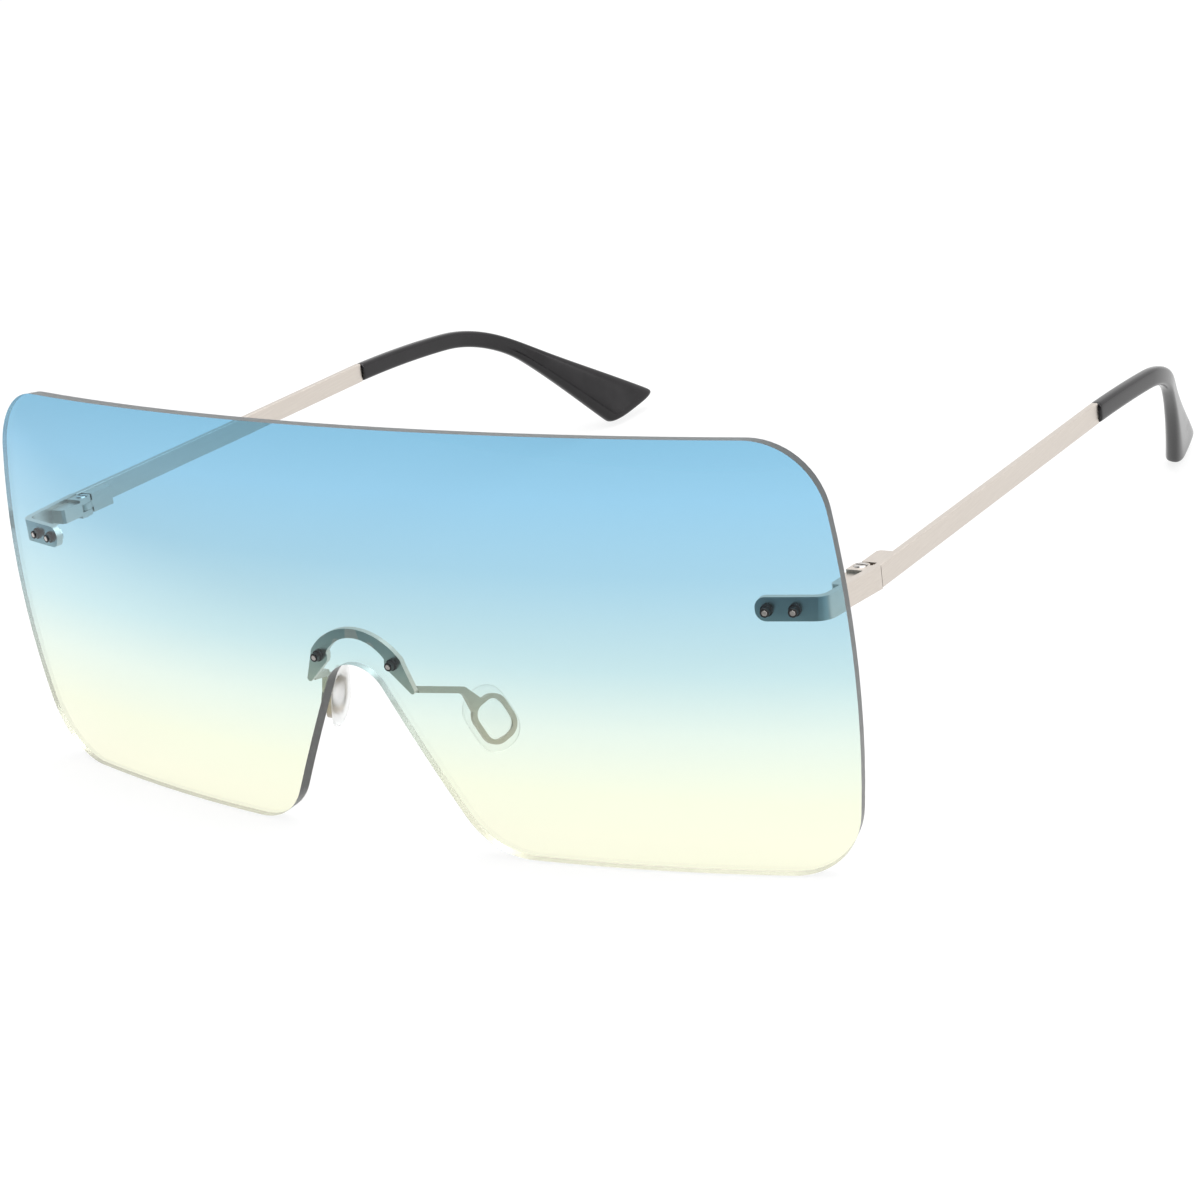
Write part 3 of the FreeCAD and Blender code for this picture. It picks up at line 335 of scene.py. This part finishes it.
# %% Copies and twins
def copy_of(piece, name):
    bpy.ops.object.select_all(action="DESELECT")
    piece.select_set(True)
    bpy.context.view_layer.objects.active = piece
    bpy.ops.object.duplicate()
    bpy.context.object.name = name
    return bpy.context.object


def set_in_place(piece, place):
    """Move a piece that was drawn at the origin, and put the move in its mesh."""
    piece.matrix_world = place
    bpy.ops.object.transform_apply(location=True, rotation=True, scale=True)


def mirror_across(piece):
    """Turn a left piece into its right twin."""
    piece.scale = (-1, 1, 1)
    bpy.ops.object.transform_apply(location=True, rotation=True, scale=True)
    start_shaping()
    stop_shaping()


# %% [markdown]
# A screw's place is where its axis meets the front of the lens. The two screws of an endpiece are parallel,
# because the metal behind them is flat, and the right side is the mirror image of the left.

# %% Lens bushes: one on each screw
SCREW_PLACES = {"bridge": ((6.704, 0.1, -2.85), 1.45), "inner": ((64.609, 8.106, 7.7), 14.53),
                "outer": ((68.287, 9.059, 7.7), 14.53)}
bushes = []
for mount, (place, swing) in SCREW_PLACES.items():
    along_screw = turned(swing, "Z") @ turned(-90, "X")
    left_bush = copy_of(bush_pattern, f"left_{mount}_bush")
    set_in_place(left_bush, wearing @ moved(place) @ along_screw)
    right_bush = copy_of(left_bush, f"right_{mount}_bush")
    mirror_across(right_bush)
    bushes += [left_bush, right_bush]
bpy.data.meshes.remove(bush_pattern.data)
print(len(bushes), "bushes")

# %% [markdown]
# Nylon is a dull black that is never quite black, and small mouldings have an uneven shine.
# It could share the gloss of the tips, but then the bushes would glint as the screws do.

# %% Finish: black nylon
nylon, shader = handled_finish("black_nylon", spread=900.0, roughness=(0.3, 0.45),
                               colours=(tone(34, 36, 38), tone(52, 54, 56)))
for bush in bushes:
    bush.data.materials.append(nylon)
    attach(bush, "front_frame")
print(nylon.name, "on", len(bushes), "pieces")

# %% [markdown]
# The lens is one moulded sheet of polycarbonate, dipped so that the tint fades from sky blue at the top
# through pale aqua to pale yellow.
# The tint could be an image, but it depends on the height alone, so a ramp over the height in the wearing
# frame is enough.

# %% Lens: the tint
TINT_REACH = 32 * MM
TINT = ((0.08, tone(255, 255, 230)), (0.19, tone(249, 253, 228)), (0.34, tone(232, 247, 236)),
        (0.48, tone(203, 234, 238)), (0.69, tone(170, 216, 237)), (0.85, tone(157, 212, 242)),
        (1.0, tone(141, 200, 232)))
lens_glass, tree, shader = new_finish("tinted_lens")
where = add_node(tree, "ShaderNodeTexCoord")
unlean = wearing.inverted()
upright = add_node(tree, "ShaderNodeMapping",
                   {"Location": unlean.translation, "Rotation": unlean.to_euler()})
tree.links.new(where.outputs["Object"], upright.inputs["Vector"])
split = add_node(tree, "ShaderNodeSeparateXYZ")
tree.links.new(upright.outputs["Vector"], split.inputs["Vector"])
height = add_node(tree, "ShaderNodeMapRange", {"From Min": -TINT_REACH, "From Max": TINT_REACH})
tree.links.new(split.outputs["Z"], height.inputs["Value"])
fade = add_node(tree, "ShaderNodeValToRGB")
while len(fade.color_ramp.elements) < len(TINT):
    fade.color_ramp.elements.new(0.5)
for stop, (share, colour) in zip(fade.color_ramp.elements, TINT):
    stop.position = share
    stop.color = colour
tree.links.new(height.outputs["Result"], fade.inputs["Fac"])
print("tint of", len(TINT), "colours")

# %% [markdown]
# The faces of the lens are polished, but its edge is only ground. Painting the edge by hand would need a
# second material, so it is found instead: the edge is where the surface stops facing the centre of the
# sphere that the lens is cut from, and a dot product measures that.

# %% Lens: find the edge
LENS_RADIUS = 265.0 * MM
EDGE_FACING = 0.5
sphere_centre = wearing @ Vector((0, LENS_RADIUS, 0))
from_centre = add_node(tree, "ShaderNodeVectorMath", {1: sphere_centre}, operation="SUBTRACT")
tree.links.new(where.outputs["Object"], from_centre.inputs[0])
radial = add_node(tree, "ShaderNodeVectorMath", operation="NORMALIZE")
tree.links.new(from_centre.outputs["Vector"], radial.inputs[0])
facing = add_node(tree, "ShaderNodeVectorMath", operation="DOT_PRODUCT")
tree.links.new(where.outputs["Normal"], facing.inputs[0])
tree.links.new(radial.outputs["Vector"], facing.inputs[1])
flatness = add_node(tree, "ShaderNodeMath", operation="ABSOLUTE")
tree.links.new(facing.outputs["Value"], flatness.inputs[0])
edge = add_node(tree, "ShaderNodeMath", {1: EDGE_FACING}, operation="LESS_THAN")
tree.links.new(flatness.outputs["Value"], edge.inputs[0])
print("lens is cut from a sphere of", round(LENS_RADIUS / MM), "mm radius")

# %% [markdown]
# A ground edge blurs light and looks grey. Backfacing tells the inside from the outside, and the edge gets a
# darker colour there: painted shade, standing in for the dim light that reaches the edge from inside the
# lens.
# Polycarbonate bends light more than window glass does, which gives the edge its strong reflections.

# %% Finish: tinted lens
EDGE_ROUGHNESS = 0.32
POLYCARBONATE_IOR = 1.58
ray_side = add_node(tree, "ShaderNodeNewGeometry")
# Outside, the edge's own ground grey; inside, a dark grey that is painted shade.
ground_edge_and_painted_shade = blend_colours(tree, ray_side.outputs["Backfacing"], tone(230, 233, 230), tone(90, 92, 92))
lens_colour = add_node(tree, "ShaderNodeMix", data_type="RGBA")
tree.links.new(edge.outputs["Value"], lens_colour.inputs["Factor"])
tree.links.new(fade.outputs["Color"], lens_colour.inputs["A"])
tree.links.new(ground_edge_and_painted_shade, lens_colour.inputs["B"])
tree.links.new(lens_colour.outputs["Result"], shader.inputs["Base Color"])
tree.links.new(spread_between(tree, edge.outputs["Value"], 0.0, EDGE_ROUGHNESS), shader.inputs["Roughness"])
shader.inputs["Transmission Weight"].default_value = 1.0
shader.inputs["IOR"].default_value = POLYCARBONATE_IOR
put_on(lens_glass, "shield_lens")

# %% [markdown]
# Each tip is moulded over the thin steel core at the temple's end, so it has no seams, only soft corners.
# It is drawn as one section, a rectangle with round corners, that is carried along a path and resized on
# the way. The path is a gentle arc, then a tighter one down and inwards behind the ear, then a straight tail.
# An optician warms the tips and bends them to the ears, so the two bends differ a little.

# %% Tip: the path
TEMPLE_SPLAY = 1.33
LEAD_RADIUS = 225.0 * MM
FLARE_START = 39.4 * MM
TIP_BENDS = {"left": {"lead": 20.2 * MM, "radius": 25.5 * MM, "turn": 35.4, "roll": 26.4, "twist": 9.9,
                      "slant": 39.8, "end_height": 11.9 * MM, "length": 67.4 * MM},
             "right": {"lead": 23.1 * MM, "radius": 30.8 * MM, "turn": 38.4, "roll": 30.3, "twist": 9.8,
                       "slant": 36.4, "end_height": 12.4 * MM, "length": 69.6 * MM}}
temple_frame = wearing @ moved(LEFT_PIN) @ turned(TEMPLE_SPLAY, "Z")
tip_start = moved((2.22, 70.12, 0.85))


def bend_length(bend):
    return bend["radius"] * math.radians(bend["turn"])


def tip_flare(travel, bend):
    """How much of the flare is reached so far along, from nought to one."""
    return max(0.0, (travel - FLARE_START) / (bend["length"] - FLARE_START))


def tip_frame(travel, bend):
    """The section's place so far along: X outwards, Y up, Z back towards the start."""
    roll = math.radians(bend["roll"])
    axle = Vector((-math.cos(roll), 0, math.sin(roll)))
    path, left_to_go = tip_start.copy(), travel
    for length, radius in ((bend["lead"], LEAD_RADIUS), (bend_length(bend), bend["radius"])):
        step = min(left_to_go, length)
        centre = path.to_3x3() @ axle.cross(Vector((0, 1, 0))) * radius + path.translation
        swing = Matrix.Rotation(step / radius, 4, path.to_3x3() @ axle)
        path = Matrix.Translation(centre) @ swing @ Matrix.Translation(-centre) @ path
        left_to_go -= step
    path = path @ Matrix.Translation((0, left_to_go, 0))
    share = tip_flare(travel, bend)
    twist, slant = turned(bend["twist"] * share, "Y"), turned(-bend["slant"] * share, "X")
    return temple_frame @ path @ twist @ slant @ turned(90, "X")


for side, bend in TIP_BENDS.items():
    print(side, "tip bends by", bend["turn"], "degrees and ends",
          [round(value, 4) for value in tip_frame(bend["length"], bend).translation])

# %% [markdown]
# The section starts a little larger than the temple, stays slim to the bend, then flares into a paddle.
# A power of the way along makes the flare start gently.
# The first section is a plane with its corners rounded. It is drawn flat, then set at the temple's end.

# %% Tip: the first section
TIP_WIDTH, TIP_WIDENING = 2.1 * MM, 1.2 * MM
TIP_HEIGHT, TIP_TAPER = 3.15 * MM, 0.2 * MM
FLARE_POWER = 1.55
TIP_CORNER = 0.75 * MM
TIP_START_SHARE = 0.86


def tip_section(travel, bend):
    """The section's full width and height so far along."""
    height = TIP_HEIGHT - TIP_TAPER * min(1.0, travel / FLARE_START)
    share = tip_flare(travel, bend)
    return TIP_WIDTH + TIP_WIDENING * share, height + (bend["end_height"] - height) * share ** FLARE_POWER


def first_section(name, bend):
    bpy.ops.object.select_all(action="DESELECT")
    bpy.ops.mesh.primitive_plane_add(size=1.0)
    section = bpy.context.object
    section.name = name
    start_shaping()
    bpy.ops.transform.resize(value=(*tip_section(0, bend), 1.0), center_override=(0, 0, 0))
    bpy.ops.mesh.bevel(affect="VERTICES", offset=TIP_CORNER, segments=3)
    bpy.ops.transform.resize(value=(TIP_START_SHARE, TIP_START_SHARE, 1.0), center_override=(0, 0, 0))
    bpy.ops.object.mode_set(mode="OBJECT")
    set_in_place(section, tip_frame(0, bend))
    return section


# %% [markdown]
# Carrying the section means: extrude it to the next place, turn it to face along the path there, then scale
# it across and upright. The 3D cursor stands in for the section's own axes while it is turned and scaled.
# With no window open, the rotate operator turns the other way, so its angle is negative.

# %% Tip: carry the section along
def carry_section(before, after, wide, tall):
    cursor, middle = bpy.context.scene.cursor, after.translation
    bpy.ops.mesh.extrude_region_move(TRANSFORM_OT_translate={"value": middle - before.translation})
    axis, angle = (after.to_quaternion() @ before.to_quaternion().inverted()).to_axis_angle()
    cursor.matrix = Matrix.Translation(middle) @ axis.to_track_quat("Z", "Y").to_matrix().to_4x4()
    bpy.ops.transform.rotate(value=-angle, orient_axis="Z", orient_type="CURSOR", center_override=middle)
    cursor.matrix = after
    bpy.ops.transform.resize(value=(wide, tall, 1.0), orient_type="CURSOR", center_override=middle)


# %% [markdown]
# More sections are needed where the path bends. At the far end the last ones shrink quickly, which rounds
# the end off.

# %% Tip: the whole moulding
LEAD_STEPS, BEND_STEPS, TAIL_STEPS = 4, 8, 6
START_LIP = (0.25 * MM, 1.2 * MM)
END_CAP = 2.2 * MM
# How far short of the end, in mm, and the shares of the full width and height there.
END_ROUNDING = ((1.4, 1.0, 0.99), (0.8, 0.95, 0.93), (0.35, 0.8, 0.75), (0.08, 0.4, 0.35))


def tip_stations(bend):
    """How far along each section lies, and the shares of the full width and height that it has there."""
    lead, curve = bend["lead"], bend_length(bend)
    tail = bend["length"] - lead - curve - END_CAP
    travels = list(START_LIP)
    travels += [lead * step / LEAD_STEPS for step in range(1, LEAD_STEPS + 1)]
    travels += [lead + curve * step / BEND_STEPS for step in range(1, BEND_STEPS + 1)]
    travels += [lead + curve + tail * step / TAIL_STEPS for step in range(1, TAIL_STEPS + 1)]
    full_size = [(travel, 1.0, 1.0) for travel in travels]
    rounded_off = [(bend["length"] - short * MM, wide, tall) for short, wide, tall in END_ROUNDING]
    return full_size + rounded_off


def mould_tip(side, bend):
    tip = first_section(f"{side}_tip_moulding", bend)
    start_shaping()
    frame_now = tip_frame(0, bend)
    wide_now, tall_now = (full * TIP_START_SHARE for full in tip_section(0, bend))
    for travel, wide_share, tall_share in tip_stations(bend):
        frame_next = tip_frame(travel, bend)
        wide_next, tall_next = tip_section(travel, bend)
        wide_next, tall_next = wide_next * wide_share, tall_next * tall_share
        carry_section(frame_now, frame_next, wide_next / wide_now, tall_next / tall_now)
        frame_now, wide_now, tall_now = frame_next, wide_next, tall_next
    stop_shaping()
    bpy.context.scene.cursor.matrix = Matrix.Identity(4)
    print(tip.name, "cage has", len(tip.data.polygons), "faces")
    return tip


# %% [markdown]
# A subdivision turns the cage into one smooth moulding. Both tips are drawn on the left, so the right one
# is then mirrored across the middle.

# %% Tip: smooth it and mirror it
SMOOTH_LEVELS = 2


def smooth_out(piece):
    soften = piece.modifiers.new("soften", "SUBSURF")
    soften.levels = SMOOTH_LEVELS
    soften.render_levels = SMOOTH_LEVELS
    bpy.ops.object.modifier_apply(modifier=soften.name)
    bpy.ops.object.shade_smooth()
    print(piece.name, "has", len(piece.data.polygons), "faces")


tips = {}
for side, bend in TIP_BENDS.items():
    tips[side] = mould_tip(side, bend)
    smooth_out(tips[side])
mirror_across(tips["right"])

# %% [markdown]
# The tips are black mouldings with a soft gloss. They mirror the room dimly, and more where
# fingers have polished them. A dielectric shader does this by itself, so no coat is added.

# %% Finish: black tip
black_gloss, shader = handled_finish("black_gloss", spread=140.0, roughness=(0.12, 0.2),
                                     colours=(tone(18, 15, 18), tone(28, 25, 28)))
shader.inputs["Specular IOR Level"].default_value = 0.45
for side, tip in tips.items():
    tip.data.materials.append(black_gloss)
    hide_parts(f"{side}_temple_tip")
    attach(tip, f"{side}_arm")
print(black_gloss.name, "on", len(tips), "pieces")

# %% [markdown]
# Nose pads are cast in clear silicone and snap into the wire ring of the pad arm: a soft cushion faces the
# nose, and a boss fills the ring.
# A pad is drawn flat as a rounded plane, then raised in steps that swell to the rim and close in to the boss.

# %% Pad: the cushion and the boss
PAD_WIDTH, PAD_HEIGHT, PAD_CORNER = 7.1 * MM, 10.1 * MM, 3.1 * MM
# Level, width and height in mm, from the middle of the cushion to the end of the boss.
PAD_STEPS = ((-1.95, 2.6, 5.0), (-1.9, 4.4, 7.2), (-1.72, 5.9, 8.9), (-1.35, 6.85, 9.85), (-0.95, 7.1, 10.1),
             (-0.62, 7.0, 10.0), (-0.47, 6.6, 9.6), (-0.46, 4.7, 6.0), (-0.44, 4.25, 5.55), (0.5, 4.2, 5.5),
             (0.66, 3.8, 5.1), (0.69, 2.4, 3.4))
pad_steps = [tuple(size * MM for size in step) for step in PAD_STEPS]
first_level, first_width, first_height = pad_steps[0]
bpy.ops.object.select_all(action="DESELECT")
bpy.ops.mesh.primitive_plane_add(size=1.0)
left_pad = bpy.context.object
left_pad.name = "left_silicone_pad"
start_shaping()
bpy.ops.transform.resize(value=(PAD_WIDTH, PAD_HEIGHT, 1.0), center_override=(0, 0, 0))
bpy.ops.mesh.bevel(affect="VERTICES", offset=PAD_CORNER, segments=4)
bpy.ops.transform.translate(value=(0, 0, first_level))
bpy.ops.transform.resize(value=(first_width / PAD_WIDTH, first_height / PAD_HEIGHT, 1.0),
                         center_override=(0, 0, first_level))
draw_out(pad_steps)
stop_shaping()
print("pad cage has", len(left_pad.data.polygons), "faces")

# %% [markdown]
# The arm that holds the pad leaves the bridge's foot backwards and outwards, and leans with the side of the
# nose. The pad is set in the ring at the arm's end, which is turned a little more.

# %% Pad: set it in its ring
ARM_SPLAY, ARM_LEAN = math.radians(24.0), math.radians(13.0)
BRIDGE_FOOT, RING_MIDDLE, RING_TURN = (9.2, 3.217, -6.7), (10.5, -7.55, 0), 20
arm_back = Vector((math.sin(ARM_SPLAY), math.cos(ARM_SPLAY), 0))
arm_up = Vector((-math.cos(ARM_SPLAY) * math.sin(ARM_LEAN), math.sin(ARM_SPLAY) * math.sin(ARM_LEAN),
                 math.cos(ARM_LEAN)))
arm_axes = Matrix((arm_back, arm_up, arm_back.cross(arm_up))).transposed().to_4x4()
set_in_place(left_pad, wearing @ moved(BRIDGE_FOOT) @ arm_axes @ moved(RING_MIDDLE) @ turned(RING_TURN, "Z"))
smooth_out(left_pad)
right_pad = copy_of(left_pad, "right_silicone_pad")
mirror_across(right_pad)
print("pad box", [[round(value / MM, 2) for value in corner] for corner in left_pad.bound_box][::6])

# %% [markdown]
# Silicone is clear but never quite smooth, so it blurs what is behind it a little and has no colour of its
# own. Real silicone bends light more than this finish does, but a low index keeps the ring round the boss
# in plain sight.

# %% Finish: clear silicone
SILICONE_IOR = 1.13
silicone, shader = handled_finish("clear_silicone", spread=400.0, roughness=(0.36, 0.48),
                                  colours=(tone(246, 247, 246), tone(252, 252, 251)))
shader.inputs["Transmission Weight"].default_value = 1.0
shader.inputs["IOR"].default_value = SILICONE_IOR
for pad, side in ((left_pad, "left"), (right_pad, "right")):
    pad.data.materials.append(silicone)
    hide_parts(f"{side}_nose_pad")
    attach(pad, "front_frame")
print(silicone.name, "on both pads")

# %% [markdown]
# The studio is a white sweep: a floor and a world that the camera sees as white, straight or through the
# lens, while they light the object at a plain level.
# What the metal mirrors is another matter. A studio is bright behind the object and dim on the camera's
# side, and that dim side is what makes polished faces look dark.
# So the light is sorted by the rays that ask for it.

# %% Studio: sort the rays
def combine(tree, operation, first, second):
    node = add_node(tree, "ShaderNodeMath", operation=operation)
    for socket, value in zip(node.inputs, (first, second)):
        if isinstance(value, float):
            socket.default_value = value
        else:
            tree.links.new(value, socket)
    return node.outputs["Value"]


def sort_rays(tree):
    """Masks for rays that see the studio straight, through the lens, or by way of a reflection."""
    path = add_node(tree, "ShaderNodeLightPath")
    unmirrored = combine(tree, "LESS_THAN", path.outputs["Glossy Depth"], 0.5)
    through = combine(tree, "MULTIPLY", path.outputs["Is Transmission Ray"], unmirrored)
    indirect = combine(tree, "MAXIMUM", path.outputs["Is Glossy Ray"], path.outputs["Is Transmission Ray"])
    return path.outputs["Is Camera Ray"], through, indirect


def fade_behind(tree, vector, front, back, least):
    """A mask that runs from the least value at the front to one at the back."""
    split = add_node(tree, "ShaderNodeSeparateXYZ")
    tree.links.new(vector, split.inputs["Vector"])
    fade = add_node(tree, "ShaderNodeMapRange", {"From Min": front, "From Max": back, "To Min": least},
                    interpolation_type="SMOOTHSTEP")
    tree.links.new(split.outputs["Y"], fade.inputs["Value"])
    return fade.outputs["Result"]


# %% [markdown]
# The floor is a sheet of paper. Paper that is lit until it looks white would throw its light on the object
# too, so this sheet is grey and glows for the rays that see it. The grey still takes the soft shadow.

# %% Studio: the floor
FLOOR_SIZE, FLOOR_DROP = 6.0, 0.2 * MM
PAPER_GREY = (0.22, 0.22, 0.22, 1.0)
WHITE = (1.0, 1.0, 1.0, 1.0)
PAPER_SEEN, PAPER_MIRRORED = 0.82, 0.77
bpy.ops.object.select_all(action="DESELECT")
bpy.ops.mesh.primitive_plane_add(size=FLOOR_SIZE, location=(0, 0, -FLOOR_DROP))
floor = bpy.context.object
floor.name = "studio_floor"
paper, tree, shader = new_finish("white_paper")
shader.inputs["Roughness"].default_value = 0.9
shader.inputs["Base Color"].default_value = PAPER_GREY
shader.inputs["Emission Color"].default_value = WHITE
where = add_node(tree, "ShaderNodeTexCoord")
straight, through, indirect = sort_rays(tree)
dim_front = fade_behind(tree, where.outputs["Object"], front=-0.2, back=-0.085, least=0.12)
mirrored = combine(tree, "MULTIPLY", indirect, dim_front)
glow = combine(tree, "MULTIPLY", combine(tree, "MAXIMUM", through, mirrored), PAPER_MIRRORED)
seen = combine(tree, "MULTIPLY", straight, PAPER_SEEN)
tree.links.new(combine(tree, "MAXIMUM", seen, glow), shader.inputs["Emission Strength"])
floor.data.materials.append(paper)
print(floor.name, "of", FLOOR_SIZE, "m")

# %% [markdown]
# The world is the room round the sweep. It lights the object evenly at half strength, it is white where
# the camera sees it, and metal mirrors it bright behind the object and dim in front.

# %% Studio: the world
WORLD_LIGHT, WORLD_DIM = 0.5, 0.15
world = bpy.data.worlds.new("white_sweep")
bpy.context.scene.world = world
world.use_nodes = True
tree = world.node_tree
sky = tree.nodes["Background"]
sky.inputs["Color"].default_value = WHITE
where = add_node(tree, "ShaderNodeTexCoord")
straight, through, indirect = sort_rays(tree)
dim_front = fade_behind(tree, where.outputs["Generated"], front=-0.5, back=0.3, least=0.0)
mirrored = combine(tree, "MULTIPLY", indirect, dim_front)
white = combine(tree, "MAXIMUM", combine(tree, "MAXIMUM", straight, through), mirrored)
plain = spread_between(tree, indirect, WORLD_LIGHT, WORLD_DIM)
tree.links.new(combine(tree, "MAXIMUM", plain, white), sky.inputs["Strength"])
print("world", world.name)

# %% [markdown]
# Two softboxes give the light a direction. The wide one hangs above and makes the soft shadow, and the
# other stands at the wearer's left and lights the outer side of that temple.

# %% Studio: the lamps
LAMP_AIM = (0, 0, 0.03)


def add_lamp(name, place, width, watts):
    data = bpy.data.lights.new(name, "AREA")
    data.size = width
    data.energy = watts
    lamp = bpy.data.objects.new(name, data)
    bpy.context.scene.collection.objects.link(lamp)
    lamp.location = place
    lamp.rotation_euler = (Vector(LAMP_AIM) - Vector(place)).to_track_quat("-Z", "Y").to_euler()
    print(name, "of", watts, "W")


add_lamp("top_softbox", place=(0.15, 0.15, 0.9), width=0.9, watts=6.0)
add_lamp("side_softbox", place=(0.9, 0.1, 0.5), width=0.7, watts=3.0)
